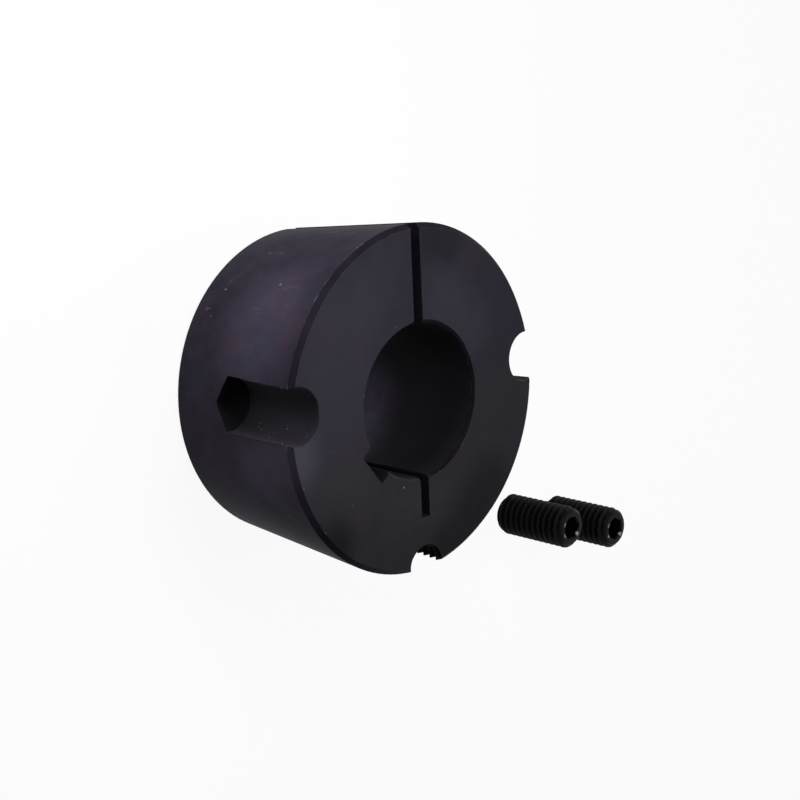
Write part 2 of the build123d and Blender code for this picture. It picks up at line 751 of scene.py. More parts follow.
class IronShader(Paint):
    """The black iron's nodes, which know where on the bush the surface is."""

    def __init__(self, finish: BlackIron) -> None:
        """Start the tree with the surface's place.

        Args:
            finish: The colours, the patches and the bush's sizes.
        """
        super().__init__("black_iron")
        self.iron = finish
        self.sizes = finish.sizes
        self.radius = self.length(self.x, self.y)
        top = self.sizes.top
        self.face = self.smooth(self.z, top - 3 * HAIR, top - HAIR)
        self.wall = 1 - self.face
        self.grain = self.noise(self.place, finish.grain_scale, 4.0)
        self.rim = self._rim()

    def material(self) -> bpy.types.Material:
        """Write the rest of the tree.

        Returns:
            The finished material.
        """
        iron = self.iron
        bore = self.sizes.bore_radius
        bare = self._bare()
        inner = self.wall * self.smooth(self.radius, bore + FADE, bore)
        deep_light = inner * self._painted_bore_light()
        hollow = self.wall * self._hollows()
        black = self.blend(self._coated(), tone(iron.drilled), iron.drilled_share * hollow)
        # Painted shade: a darker grey over the bore, less where light is painted deep down.
        black = self.blend(black, tone(iron.bore_shade_tone), iron.bore_shade_share * (inner - deep_light))
        # Painted shade, painted light deep in the bore, and more painted shade towards the bore's
        # mouth.
        upper = self.smooth(self.z, *iron.bore_span)
        light = self._shade() * (1 + iron.bore_light_gain * deep_light)
        light = light * (1 - iron.bore_shade * inner * upper)
        black = self._rusted(self.dim(black, light))
        relief = self.grain + self._turning() - iron.scuff_depth * bare
        uneven = iron.uneven_roughness * (self.grain - 0.5)
        return self.principled({
            "Base Color": self.blend(black, tone(iron.bare), bare),
            "Roughness": iron.roughness + uneven - iron.bare_gloss * bare,
            "Specular IOR Level": iron.specular,
            "Normal": self.bump(relief, iron.grain_bump, iron.grain_depth),
        })

    def _coated(self) -> Socket:
        """Colour the black: violet and mottled on the barrel, even on the large end, with painted
        highlights and shade.

        Returns:
            The colour, with its painted highlights and shade, before the other painted shade and
            any scuff.
        """
        iron, face = self.iron, self.face
        east, south = iron.dull_way
        lower = self.smooth(east * self.x - south * self.y, *iron.dull_span)
        faced = self.blend(tone(iron.faced), tone(iron.dull), lower)
        black = self.blend(tone(iron.barrel), faced, face)
        patchy = (1 - iron.face_evenness * face) * (1 - iron.rim_evenness * self.rim)
        reddened = self.patches(iron.reddened)
        cooled = self.patches(iron.cooled, iron.slate_shift)
        black = self.blend(black, tone(iron.rosy), iron.rosy_share * reddened * patchy)
        black = self.blend(black, tone(iron.slate), iron.slate_share * cooled * patchy)
        strength, less = iron.speckle
        speckle = (strength - less * face) * (self.grain - 0.5)
        strength, less = iron.cloud
        cloud = (strength - less * face) * (self.noise(self.place, iron.cloud_scale) - 0.5)
        light = 1 + speckle + cloud
        # Painted highlights and shade, laid over the mottle.
        for mark in iron.painted_light:
            light = light + self.near(mark)
        return self.dim(black, light)

    def _rusted(self, black: Socket) -> Socket:
        """Bloom a little rust just inside the bore's mouth.

        Args:
            black: The colour without it.

        Returns:
            The colour with it.
        """
        spot = marks([RUST_SPOT], self.sizes.bore_point)[0]
        bloom = self.near(spot) * self.noise(self.place, *self.iron.rust_noise)
        return self.blend(black, tone(self.iron.rust), bloom)

    def _shade(self) -> Socket:
        """Paint shade on the rim's chamfer, the saw cuts, the keyway, the bore's mouth, the tapped
        half-hole, the fixing holes' mouths and the drill points.

        Returns:
            What the colour is multiplied by.
        """
        iron, wall = self.iron, self.wall
        shade, more = iron.rim_shade
        rim_shade = shade + more * self.smooth(self.y, *iron.rim_span)
        losses = (
            rim_shade * self.rim * wall,
            iron.saw_shade * self._saw_cuts() * wall,
            iron.keyway_shade * self._keyway(),
            iron.bore_mouth_shade * wall * self._bore_mouth(),
            iron.jacking_shade * wall * self._hollow(self.sizes.jacking_hole),
            iron.hole_mouth_shade * self._hole_mouths(),
            iron.drill_point_shade * self._drill_points(),
        )
        light = 1.0
        for loss in losses:
            light = light * (1 - loss)
        return light

    def _rim(self) -> Socket:
        """Find the rim's chamfer.

        Returns:
            1 there, and 0 elsewhere.
        """
        sizes = self.sizes
        slope = self.radius + self.z - (sizes.rim_radius + sizes.rim_height)
        chamfer = self.between(slope, -3 * HAIR, 3 * HAIR, 2 * HAIR)
        return chamfer * self.smooth(self.z, sizes.rim_height - FADE / 2, sizes.rim_height)

    def _saw_cuts(self) -> Socket:
        """Find the walls of the split and of the relief slot.

        Returns:
            1 there, and 0 elsewhere.
        """
        half = self.sizes.split_width / 2
        reach = self.sizes.relief_reach
        split = self.smooth(self.y, -1 * MM, 1 * MM)
        relief = self.smooth(self.radius, reach + FADE, reach)
        return self.smooth(abs(self.x), half + FADE, half + 4 * HAIR) * split.at_least(relief)

    def _keyway(self) -> Socket:
        """Find the keyway, which gets painted shade.

        Returns:
            1 there, and 0 elsewhere.
        """
        sizes = self.sizes
        east = math.cos(math.radians(KEYWAY_TURN))
        north = math.sin(math.radians(KEYWAY_TURN))
        out = self.x * east + self.y * north
        across = self.y * east - self.x * north
        half = sizes.keyway_width / 2
        floor = sizes.bore_radius + sizes.keyway_depth
        inside = self.smooth(abs(across), half + 1.5 * HAIR, half)
        clear = self.smooth(self.radius, sizes.bore_radius - FADE / 2, sizes.bore_radius)
        return inside * self.between(out, 0.0, floor + HAIR, HAIR) * clear

    def _bore_mouth(self) -> Socket:
        """Find the bore's upper chamfer, away from the keyway.

        Returns:
            1 there, and 0 elsewhere.
        """
        sizes = self.sizes
        edge = sizes.bore_radius + sizes.bore_chamfer
        ring = self.between(self.radius, sizes.bore_radius, edge + FADE / 2, 4 * HAIR)
        heights = [sizes.top - depth for depth in self.iron.bore_mouth_depths]
        high = self.smooth(self.z, *heights)
        return ring * high * self.smooth(self.x, *self.iron.bore_mouth_span)

    def _painted_bore_light(self) -> Socket:
        """Give 1 deep in the bore, where light is painted, and 0 towards its mouth."""
        return self.near(marks([DEEP_BORE_LIGHT], self.sizes.bore_point)[0])

    def _hollow(self, hole: HalfHole) -> Socket:
        """Find a half-hole's wall and point.

        Args:
            hole: The half-hole.

        Returns:
            1 there, and 0 elsewhere.
        """
        below = (self.sizes.top - hole.depth - self.z).at_least(0.0)
        spread = self.away(hole.centre) + below * DRILL_SLANT
        return self.smooth(spread, hole.radius + 8 * HAIR, hole.radius + 4 * HAIR)

    def _hollows(self) -> Socket:
        """Find the walls and points of all three half-holes.

        Returns:
            1 there, and 0 elsewhere.
        """
        total = self._hollow(self.sizes.jacking_hole)
        for hole in self.sizes.fixing_holes:
            total = total + self._hollow(hole)
        return total.at_most(1.0)

    def _hole_mouths(self) -> Socket:
        """Find the broken mouths of the fixing half-holes.

        Returns:
            1 there, and 0 elsewhere.
        """
        top = self.sizes.top
        total = 0.0
        for hole in self.sizes.fixing_holes:
            mouth = hole.radius + self.sizes.fixing_chamfer
            total = total + self.smooth(
                self.away(hole.centre), mouth + 7 * HAIR, mouth + 4 * HAIR
            )
        level = self.between(self.z, top - 0.4 * MM, top - HAIR / 2, HAIR)
        return (total * level).at_most(1.0)

    def _drill_points(self) -> Socket:
        """Find the cones at the ends of the fixing half-holes.

        Returns:
            1 there, and 0 elsewhere.
        """
        total = 0.0
        for hole in self.sizes.fixing_holes:
            below = self.sizes.top - hole.depth - self.z
            spread = self.away(hole.centre) + below * DRILL_SLANT
            cone = self.smooth(spread, hole.radius + FADE / 2, hole.radius)
            total = total + cone * self.smooth(below, -HAIR / 2, HAIR)
        return total

    def _bare(self) -> Socket:
        """Add up where the black is gone: scuffs, and worn edges here and there.

        Returns:
            How bare the metal is, from 0 to 1.
        """
        iron = self.iron
        worn = self.node("ShaderNodeAttribute", {"attribute_name": WORN}, output="Fac")
        edges = iron.edge_wear * worn + iron.foot_wear * self._foot()
        total = edges * self.patches(iron.rubbed)
        least, gain = iron.streak_wear
        broken = least + gain * self.patches(iron.broken)
        for mark in iron.scuffs:
            share = self.near(mark)
            total = total + (share * broken if mark.long else share)
        ragged = iron.least_wear + (1 - iron.least_wear) * self.patches(iron.ragged)
        return (total * ragged).at_most(1.0)

    def _foot(self) -> Socket:
        """Find the barrel's lowest edge, where the bush has been set down.

        Returns:
            1 there, and 0 elsewhere.
        """
        rise, bore = self.sizes.foot_chamfer, self.sizes.bore_radius
        inset = [bore + reach for reach in self.iron.foot_inset]
        outside = self.smooth(self.radius, *inset)
        return self.between(self.z, rise - FADE / 2, rise + FADE, FADE / 2) * outside

    def _turning(self) -> Socket:
        """Raise the faint rings that facing leaves on the large end."""
        turns = self.radius * (2 * math.pi / self.iron.turning_pitch)
        return self.iron.turning_height * self.maths("SINE", turns) * self.face


@dataclass(frozen=True)
class BareIron:
    """The torn, unblackened metal of a burr."""

    light: Colour = (104, 102, 112)
    dark: Colour = (58, 56, 62)
    roughness: float = 0.4
    uneven_roughness: float = 0.15
    specular: float = 0.4
    patches: Patches = Patches(1500.0, 2.0, 0.35, 0.65)
    grain_scale: float = 3600.0

    def material(self) -> bpy.types.Material:
        """Build the material.

        Returns:
            The material, which reads Object coordinates only.
        """
        paint = Paint("bare_iron")
        share = paint.patches(self.patches)
        grain = paint.noise(paint.place, self.grain_scale)
        return paint.principled({
            "Base Color": paint.blend(tone(self.dark), tone(self.light), share),
            "Roughness": self.roughness + self.uneven_roughness * (grain - 0.5),
            "Specular IOR Level": self.specular,
        })


@dataclass(frozen=True)
class BlackSteel:
    """Heat-treated steel with a black oxide skin, as it is on the screws."""

    skin: Colour = (10, 9, 10)
    worn: Colour = (26, 25, 28)
    # Painted highlight: the colour of the glints on the socket's mouth.
    glint: Colour = (236, 234, 242)
    rub_share: float = 0.5
    crest: Span = (6.0 * MM, 6.35 * MM)
    rubbed: Span = (0.35, 0.7)
    glint_grain: Span = (0.3, 0.55)
    roughness: float = 0.42
    uneven_roughness: float = 0.16
    specular: float = 0.06
    grain_scale: float = 3200.0
    grain_depth: float = 0.02 * MM
    grain_bump: float = 0.4

    def material(
        self, name: str, axis: Tuple[float, float], glint_places: Sequence[Mark]
    ) -> bpy.types.Material:
        """Build the material for one screw.

        Args:
            name: The material's name.
            axis: Where the screw's axis stands.
            glint_places: Where glints are painted on the socket's mouth.

        Returns:
            The material, which reads Object coordinates only.
        """
        paint = Paint(name)
        grain = paint.noise(paint.place, self.grain_scale)
        crest = paint.smooth(paint.away(axis), *self.crest)
        rubbed = crest * paint.smooth(grain, *self.rubbed)
        # Painted highlights: glints on the socket's mouth, broken up by the grain.
        bare = 0.0
        for glint_place in glint_places:
            bare = bare + paint.near(glint_place) * paint.smooth(grain, *self.glint_grain)
        black = paint.blend(tone(self.skin), tone(self.worn), self.rub_share * rubbed)
        return paint.principled({
            "Base Color": paint.blend(black, tone(self.glint), bare.at_most(1.0)),
            "Roughness": self.roughness + self.uneven_roughness * (grain - 0.5),
            "Specular IOR Level": self.specular,
            "Normal": paint.bump(grain, self.grain_bump, self.grain_depth),
        })


# ------------------------------------------------------------------ mesh helpers


def add_mesh(name: str, mesh: bpy.types.Mesh) -> bpy.types.Object:
    """Put a mesh in the scene as an object at the origin.

    Args:
        name: The object's name.
        mesh: Its mesh.

    Returns:
        The object.
    """
    made = bpy.data.objects.new(name, mesh)
    bpy.context.scene.collection.objects.link(made)
    return made


def drop_fins(mesh: bpy.types.Mesh) -> None:
    """Cut a closed mesh into triangles and take off those that fold back on themselves.

    Args:
        mesh: The mesh, which stays closed.
    """
    work = bmesh.new()
    work.from_mesh(mesh)
    bmesh.ops.triangulate(work, faces=work.faces)
    fins = [face for face in work.faces if any(edge.is_boundary for edge in face.edges)]
    bmesh.ops.delete(work, geom=fins, context="FACES")
    work.to_mesh(mesh)
    work.free()


def make_plain(piece: bpy.types.Object) -> None:
    """Turn a piece with modifiers into a plain mesh without them.

    Args:
        piece: The object to finish.
    """
    graph = bpy.context.evaluated_depsgraph_get()
    mesh = bpy.data.meshes.new_from_object(piece.evaluated_get(graph))
    piece.modifiers.clear()
    piece.data = mesh


def dress(piece: bpy.types.Object, material: bpy.types.Material) -> None:
    """Give a piece its one material."""
    piece.data.materials.clear()
    piece.data.materials.append(material)


def plain_ring(radius: float, height: float) -> Ring:
    """Give a round ring at one height."""
    return lambda angle: (radius, height)


def spun(
    name: str,
    rings: Sequence[Ring],
    around: int,
    centre: Tuple[float, float],
    threaded: range = range(0),
    closed: bool = False,
) -> bpy.types.Object:
    """Skin rings round an upright axis.

    Args:
        name: The object's name.
        rings: The rings in order, each a rule from angle to radius and height.
        around: How many corners each ring has.
        centre: Where the axis stands.
        threaded: The rings that a thread will be cut into.
        closed: Whether the last ring joins the first.

    Returns:
        The object, with its threaded corners marked.
    """
    work = bmesh.new()
    mark = work.verts.layers.float.new(THREADED)
    rows = []
    for number, ring in enumerate(rings):
        row = []
        for corner in range(around):
            angle = 2 * math.pi * corner / around
            radius, height = ring(angle)
            place = (centre[0] + radius * math.cos(angle), centre[1] + radius * math.sin(angle))
            vert = work.verts.new((place[0], place[1], height))
            vert[mark] = 1.0 if number in threaded else 0.0
            row.append(vert)
        rows.append(row)
    pairs = list(zip(rows, rows[1:])) + ([(rows[-1], rows[0])] if closed else [])
    for below, above in pairs:
        for corner in range(around):
            after = (corner + 1) % around
            work.faces.new((below[corner], below[after], above[after], above[corner]))
    bmesh.ops.remove_doubles(work, verts=work.verts, dist=WELD)
    bmesh.ops.dissolve_degenerate(work, edges=work.edges, dist=WELD)
    bmesh.ops.recalc_face_normals(work, faces=work.faces)
    mesh = bpy.data.meshes.new(name)
    work.to_mesh(mesh)
    work.free()
    return add_mesh(name, mesh)


@dataclass(frozen=True)
class Thread:
    """A right-hand thread of twelve to the inch, as a rule for a wall's radius."""

    crest: float
    root: float
    pitch: float = 25.4 / 12 * MM
    flat: float = 0.14

    def cut(
        self,
        piece: bpy.types.Object,
        centre: Tuple[float, float],
        material: bpy.types.Material,
        slack: float = 0.0,
    ) -> None:
        """Put the rule on a piece as a Geometry Nodes modifier.

        Args:
            piece: An object whose marked corners take the thread.
            centre: Where the thread's axis stands.
            material: The finish that the tree sets.
            slack: How far outside its first radius a corner may go.
        """
        values = {
            "Pitch": self.pitch,
            "Crest Radius": self.crest,
            "Root Radius": self.root,
            "Flat Share": self.flat,
            "Slack": slack,
            "Centre X": centre[0],
            "Centre Y": centre[1],
            "Finish": material,
        }
        tree = GrownTree(f"{piece.name}_thread", values)
        tree.finish(piece, self._ridged(tree))

    @staticmethod
    def _ridged(graph: GrownTree) -> Socket:
        """Move each marked corner to the ridge's radius.

        Args:
            graph: The tree.

        Returns:
            The threaded geometry.
        """
        shape, pitch, crest, root, flat, slack, centre_x, centre_y, _ = graph.inputs
        x, y, z = graph.axes(graph.node("GeometryNodeInputPosition"))
        east = x - centre_x
        north = y - centre_y
        radius = graph.length(east, north)
        turn = graph.maths("ARCTAN2", north, east) / (2 * math.pi)
        phase = graph.maths("FRACT", z / pitch - turn)
        ridge = 1 - abs(2 * phase - 1)
        share = ((ridge - flat) / (1 - 2 * flat)).at_least(0.0).at_most(1.0)
        wanted = (root + (crest - root) * share).at_most(radius + slack)
        grown = wanted / radius
        place = graph.vector(centre_x + east * grown, centre_y + north * grown, z)
        named = {"Name": THREADED}
        marked = graph.node("GeometryNodeInputNamedAttribute", {"data_type": "FLOAT"}, named)
        settings = {"data_type": "FLOAT", "operation": "GREATER_THAN"}
        chosen = graph.node("FunctionNodeCompare", settings, {0: marked, 1: 0.5})
        inputs = {"Geometry": shape, "Selection": chosen, "Position": place}
        return graph.node("GeometryNodeSetPosition", inputs=inputs)


@dataclass(frozen=True)
class Burrs:
    """Torn chips of metal, strewn along paths by a Geometry Nodes tree."""

    spacing: float = 0.5 * MM
    kept: float = 0.5
    stray: float = 0.1 * MM
    smallest: float = 0.1 * MM
    largest: float = 0.36 * MM
    crumple: float = 0.9
    crumple_noise: Span = (1.3, 2.0)

    def strew(
        self, name: str, paths: Sequence[Sequence[Vector]], seed: int, finish: bpy.types.Material
    ) -> bpy.types.Object:
        """Strew chips along paths.

        Args:
            name: The object's name.
            paths: Rows of points on the surface.
            seed: The number that the chips' places and shapes come from.
            finish: The chips' material.

        Returns:
            The finished chips, as one object.
        """
        mesh = bpy.data.meshes.new(name)
        points = [point for path in paths for point in path]
        edges = []
        first = 0
        for path in paths:
            edges += [(first + step, first + step + 1) for step in range(len(path) - 1)]
            first += len(path)
        mesh.from_pydata(points, edges, [])
        chips = add_mesh(name, mesh)
        values = {
            "Spacing": self.spacing,
            "Kept": self.kept,
            "Stray": self.stray,
            "Smallest": self.smallest,
            "Largest": self.largest,
            "Seed": seed,
            "Finish": finish,
        }
        tree = GrownTree(f"{name}_strewn", values)
        tree.finish(chips, self._strewn(tree))
        make_plain(chips)
        dress(chips, finish)
        return chips

    def _strewn(self, graph: GrownTree) -> Socket:
        """Put crumpled chips on points along the paths, all at random.

        Args:
            graph: The tree.

        Returns:
            The chips.
        """
        shape, spacing, kept, stray, smallest, largest, seed, _ = graph.inputs
        curve = graph.node("GeometryNodeMeshToCurve", inputs={"Mesh": shape})
        path = {"Curve": curve, "Length": spacing}
        path = {"Curve": graph.node("GeometryNodeResampleCurve", {"mode": "LENGTH"}, path)}
        row = graph.node("GeometryNodeCurveToPoints", {"mode": "EVALUATED"}, path)
        moved = {"Geometry": row, "Offset": self._random(graph, -stray, stray, seed)}
        points = graph.node("GeometryNodeSetPosition", inputs=moved)
        share = {6: kept, 8: seed}
        chosen = graph.node("FunctionNodeRandomValue", {"data_type": "BOOLEAN"}, share, output=3)
        inputs = {
            "Points": points,
            "Selection": chosen,
            "Instance": self._chip(graph),
            "Rotation": self._random(graph, 0.0, 2 * math.pi, seed + 1),
            "Scale": self._random(graph, smallest, largest, seed + 2),
        }
        return graph.node("GeometryNodeInstanceOnPoints", inputs=inputs)

    @staticmethod
    def _random(graph: Graph, low: Value, high: Value, seed: Value) -> Socket:
        """Add a random vector between two numbers."""
        inputs = {0: graph.vector(low, low, low), 1: graph.vector(high, high, high), 8: seed}
        return graph.node("FunctionNodeRandomValue", {"data_type": "FLOAT_VECTOR"}, inputs)

    def _chip(self, graph: Graph) -> Socket:
        """Crumple a small ball of radius 1 into a chip.

        Args:
            graph: The tree.

        Returns:
            The chip, as an instance.
        """
        ball = graph.node("GeometryNodeMeshIcoSphere", inputs={"Radius": 1.0, "Subdivisions": 2})
        place = graph.node("GeometryNodeInputPosition")
        noise = graph.noise(place, *self.crumple_noise)
        crumple = graph.dim(place, self.crumple * (noise - 0.5))
        return graph.node("GeometryNodeSetPosition", inputs={"Geometry": ball, "Offset": crumple})


# ------------------------------------------------------------------ sub-assemblies


# Torn patches on the left half-hole's wall, each between two places that are given by
# their turn about the hole in degrees and their height in millimetres.
TORN_PATCHES = (
    (-47, 26.4, -62, 28.9),
    (-40, 27.4, -52, 26.6),
    (-64, 33.2, -84, 33.9),
    (-41, 35.2, -56, 36.4),
    (-46, 34.6, -50, 37.0),
    (-42, 42.4, -52, 43.3),
    (-22, 42.6, -30, 43.1),
    (30, 42.6, 44, 43.3),
    (-86, 38.0, -96, 41.0),
)


@dataclass
class TaperBush:
    """The bush: its iron body with broken edges, its tapped thread and its burrs."""

    sizes: BushSizes
    finish: bpy.types.Material
    torn: bpy.types.Material
    edge_break: float = 0.1 * MM
    flat_angle: float = math.radians(0.6)
    sharp_angle: float = math.radians(28)
    facet_sag: float = 0.03 * MM
    facet_turn: float = math.radians(8)
    thread: Thread = Thread(crest=6.4 * MM, root=5.15 * MM)
    thread_wall: float = 6.45 * MM
    thread_depth: float = 27.0 * MM
    thread_around: int = 72
    thread_slack: float = 2 * MM
    thread_smooth_angle: float = math.radians(35)
    steps_a_pitch: int = 8
    under: float = 0.01 * MM
    envelope_around: int = 180
    upper_lip: range = range(25, 43)
    lower_lip: range = range(23, 42)
    ragged_lip: Tuple[slice, ...] = (slice(2, 7), slice(8, 12))
    lip_seed: int = 7
    wall_seed: int = 11

    def build(self) -> List[bpy.types.Object]:
        """Build and dress the bush.

        Returns:
            Its pieces.
        """
        body = self._body()
        dress(body, self.finish)
        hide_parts("taper_bush")
        pieces = [body, self._tapped_thread(), *self._burrs()]
        return pieces

    def _body(self) -> bpy.types.Object:
        """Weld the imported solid's facets, break its edges and give it true normals.

        Returns:
            The bush's own piece.
        """
        work = bmesh.new()
        work.from_mesh(frame["nodes"]["taper_bush"].data)
        bmesh.ops.remove_doubles(work, verts=work.verts, dist=WELD)
        bmesh.ops.dissolve_limit(
            work, angle_limit=self.flat_angle, verts=work.verts, edges=work.edges
        )
        worn = work.faces.layers.float.new(WORN)
        sharp = [edge for edge in work.edges if edge.calc_face_angle() > self.sharp_angle]
        broken = bmesh.ops.bevel(
            work, geom=sharp, offset=self.edge_break, offset_type="OFFSET", segments=1,
            profile=0.5, affect="EDGES", clamp_overlap=True,
        )
        chamfers = set(broken["faces"])
        for face in chamfers:
            face[worn] = 1.0
        normals = self._true_normals([face for face in work.faces if face not in chamfers])
        work.verts.index_update()
        order = [normals.get(vert, vert.normal) for vert in work.verts]
        mesh = bpy.data.meshes.new("bush_body")
        work.to_mesh(mesh)
        work.free()
        mesh.shade_smooth()
        mesh.normals_split_custom_set_from_vertices(order)
        return add_mesh("bush_body", mesh)

    def _true_normals(self, faces: Sequence[bmesh.types.BMFace]) -> Dict[object, Vector]:
        """Give each corner the normal of the turned or flat face that it lies on.

        Args:
            faces: The faces that aren't broken edges.

        Returns:
            A normal for each of their vertices.
        """
        turned = self.sizes.turned_faces()
        normals = {}
        for face in faces:
            centre = face.calc_center_median()
            for surface in turned:
                off = max(surface.distance(vert.co) for vert in face.verts)
                turn = face.normal.angle(surface.normal(centre))
                if off < self.facet_sag and turn < self.facet_turn:
                    for vert in face.verts:
                        normals[vert] = surface.normal(vert.co)
                    break
            else:
                for vert in face.verts:
                    normals[vert] = face.normal.copy()
        return normals

    def _tapped_thread(self) -> bpy.types.Object:
        """Cut the jacking hole's thread as ridges that end flush with the barrel.

        Returns:
            The thread, as a closed piece.
        """
        centre = self.sizes.jacking_hole.centre
        low = self.sizes.top - self.thread_depth
        high = self.sizes.top - HAIR
        steps = round((high - low) / (self.thread.pitch / self.steps_a_pitch))
        heights = [low + (high - low) * step / steps for step in range(steps + 1)]
        rings = [plain_ring(self.thread.root, height) for height in heights]
        threaded = range(len(rings))
        rings += [plain_ring(self.thread_wall, high), plain_ring(self.thread_wall, low)]
        ring = spun("jacking_thread", rings, self.thread_around, centre, threaded, closed=True)
        self.thread.cut(ring, centre, self.finish, self.thread_slack)
        envelope = self._envelope()
        trim = ring.modifiers.new("trim", "BOOLEAN")
        trim.operation = "INTERSECT"
        trim.solver = "EXACT"
        trim.object = envelope
        make_plain(ring)
        bpy.data.objects.remove(envelope)
        drop_fins(ring.data)
        ring.data.shade_smooth()
        ring.data.set_sharp_from_angle(angle=self.thread_smooth_angle)
        dress(ring, self.finish)
        return ring

    def _envelope(self) -> bpy.types.Object:
        """Spin the bush's outside, a little smaller, to trim the thread with.

        Returns:
            The envelope, which is only a tool.
        """
        sizes = self.sizes
        foot = 1 * MM
        top = sizes.top - self.under
        rings = [
            plain_ring(0.0, foot),
            plain_ring(sizes.barrel_radius(foot) - self.under, foot),
            plain_ring(sizes.rim_radius - self.under, sizes.rim_height),
            plain_ring(sizes.rim_radius - sizes.rim_chamfer - self.under, top),
            plain_ring(0.0, top),
        ]
        return spun("envelope", rings, self.envelope_around, (0.0, 0.0))

    def _burrs(self) -> List[bpy.types.Object]:
        """Leave burrs on the left half-hole: along its lips and in patches on its wall.

        Returns:
            The lip's chips and the wall's.
        """
        hole = self.sizes.fixing_holes[0]
        upper = [self.sizes.lip(hole, height * MM, upper=True) for height in self.upper_lip]
        lower = [self.sizes.lip(hole, height * MM, upper=False) for height in self.lower_lip]
        ragged = [upper[part] for part in self.ragged_lip]
        lips = Burrs().strew("lip_burrs", [upper, lower, *ragged], self.lip_seed, self.finish)
        patches = [self._wall_path(hole, *patch) for patch in TORN_PATCHES]
        fine = Burrs(
            spacing=0.3 * MM, kept=0.65, stray=0.4 * MM, smallest=0.07 * MM, largest=0.24 * MM
        )
        return [lips, fine.strew("wall_burrs", patches, self.wall_seed, self.torn)]

    @staticmethod
    def _wall_path(
        hole: HalfHole, turn: float, height: float, last_turn: float, last_height: float
    ) -> List[Vector]:
        """Walk over a half-hole's wall between two places.

        Args:
            hole: The half-hole.
            turn: The first place's turn about the hole, in degrees.
            height: Its height, in millimetres.
            last_turn: The last place's turn.
            last_height: Its height.

        Returns:
            Five points on the wall.
        """
        path = []
        for step in range(5):
            share = step / 4
            around = math.radians(turn + (last_turn - turn) * share)
            path.append(Vector((
                hole.seat[0] + hole.radius * math.cos(around),
                hole.seat[1] + hole.radius * math.sin(around),
                (height + (last_height - height) * share) * MM,
            )))
        return path


@dataclass
class GrubScrew:
    """One grub screw on its end, threaded all along, with a hexagon socket on top."""

    node: str
    finish: BlackSteel
    turn: float
    radius: float = 6.35 * MM
    end_chamfer: float = 1.35 * MM
    edge_break: float = 0.15 * MM
    flats: float = 6.35 * MM
    socket_depth: float = 9.5 * MM
    mouth_chamfer: float = 0.45 * MM
    around: int = 96
    steps_a_pitch: int = 12
    # Where the painted glints sit on the socket's mouth, and how far they reach.
    glint_turns: Tuple[float, ...] = (152.0, 205.0, 318.0)
    glint_reach: float = 0.9 * MM
    mouth_step: float = 0.002 * MM
    smooth_angle: float = math.radians(32)
    thread: Thread = Thread(crest=6.35 * MM, root=5.0 * MM)

    def build(self) -> bpy.types.Object:
        """Build and dress the screw.

        Returns:
            The finished piece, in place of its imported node.
        """
        low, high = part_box(self.node)
        centre = ((low.x + high.x) / 2, (low.y + high.y) / 2)
        rings, threaded = self._rings(high.z)
        screw = spun(f"{self.node}_body", rings, self.around, centre, threaded)
        # Painted glints on the socket's mouth.
        glint_places = [self._place_glint(centre, high.z, turn) for turn in self.glint_turns]
        material = self.finish.material(f"{self.node}_black_steel", centre, glint_places)
        self.thread.cut(screw, centre, material)
        make_plain(screw)
        screw.data.shade_smooth()
        screw.data.set_sharp_from_angle(angle=self.smooth_angle)
        dress(screw, material)
        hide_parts(self.node)
        return screw

    def _place_glint(self, centre: Tuple[float, float], top: float, turn: float) -> Mark:
        """Place a painted glint on the socket's mouth.

        Args:
            centre: Where the screw's axis stands.
            top: The height of the socket's end.
            turn: The glint's turn about the screw, in degrees.

        Returns:
            The glint, as a dot.
        """
        around = math.radians(turn)
        reach = self.flats / 2 + self.mouth_chamfer
        x = centre[0] + reach * math.cos(around)
        y = centre[1] + reach * math.sin(around)
        place = (x, y, top - FADE / 2)
        return Mark(place, place, self.glint_reach)

    def _hexagon(self, angle: float) -> float:
        """Give the socket's radius at an angle.

        Args:
            angle: The angle about the screw.

        Returns:
            How far its flat is from the axis there.
        """
        sixth = math.pi / 3
        away = (angle - self.turn) % sixth - sixth / 2
        return self.flats / 2 / math.cos(away)

    def _rings(self, top: float) -> Tuple[List[Ring], range]:
        """List the rings from the foot up to the socket's point.

        Args:
            top: The height of the socket's end.

        Returns:
            The rings, and the span of them that carries the thread.
        """
        flat = self.radius - self.end_chamfer
        cut = self.edge_break
        mouth = self.flats / 2 + self.mouth_chamfer
        floor = top - self.socket_depth
        point = self.flats / 2 / DRILL_SLANT
        steps = round(top / (self.thread.pitch / self.steps_a_pitch))
        side = []
        for number in range(steps + 1):
            height = cut / 2 + (top - cut) * number / steps
            chamfered = flat + min(height, top - height)
            side.append(plain_ring(min(self.radius, chamfered), height))
        foot = [plain_ring(0.0, 0.0), plain_ring(flat - cut, 0.0)]
        face = [
            plain_ring(flat - cut, top),
            lambda angle: (max(mouth, self._hexagon(angle)), top),
            lambda angle: (
                self._hexagon(angle),
                top - max(mouth - self._hexagon(angle), self.mouth_step),
            ),
            lambda angle: (self._hexagon(angle), floor),
            plain_ring(self.flats / 2 - HAIR / 2, floor),
            plain_ring(0.0, floor - point),
        ]
        return foot + side + face, range(len(foot), len(foot) + len(side))


def towards(turn: float, rise: float) -> Vector:
    """Give a direction from its two angles.

    Args:
        turn: Its turn about the upright, in degrees.
        rise: How far it rises above the level, in degrees.

    Returns:
        The direction, of length 1.
    """
    flat = math.cos(math.radians(rise))
    around = math.radians(turn)
    return Vector((flat * math.cos(around), flat * math.sin(around), math.sin(math.radians(rise))))


@dataclass(frozen=True)
class Softbox:
    """A square softbox: its power in watts, its width, and the way and distance to it."""

    name: str
    power: float
    width: float
    turn: float
    rise: float
    reach: float

    def hang(self, heart: Point) -> None:
        """Hang it so that it looks at the object.

        Args:
            heart: The point that it looks at.
        """
        lamp = bpy.data.lights.new(self.name, "AREA")
        lamp.energy = self.power
        lamp.size = self.width
        box = bpy.data.objects.new(self.name, lamp)
        out = towards(self.turn, self.rise)
        box.location = Vector(heart) + out * self.reach
        box.visible_camera = False
        box.rotation_euler = out.to_track_quat("Z", "Y").to_euler()
        bpy.context.scene.collection.objects.link(box)


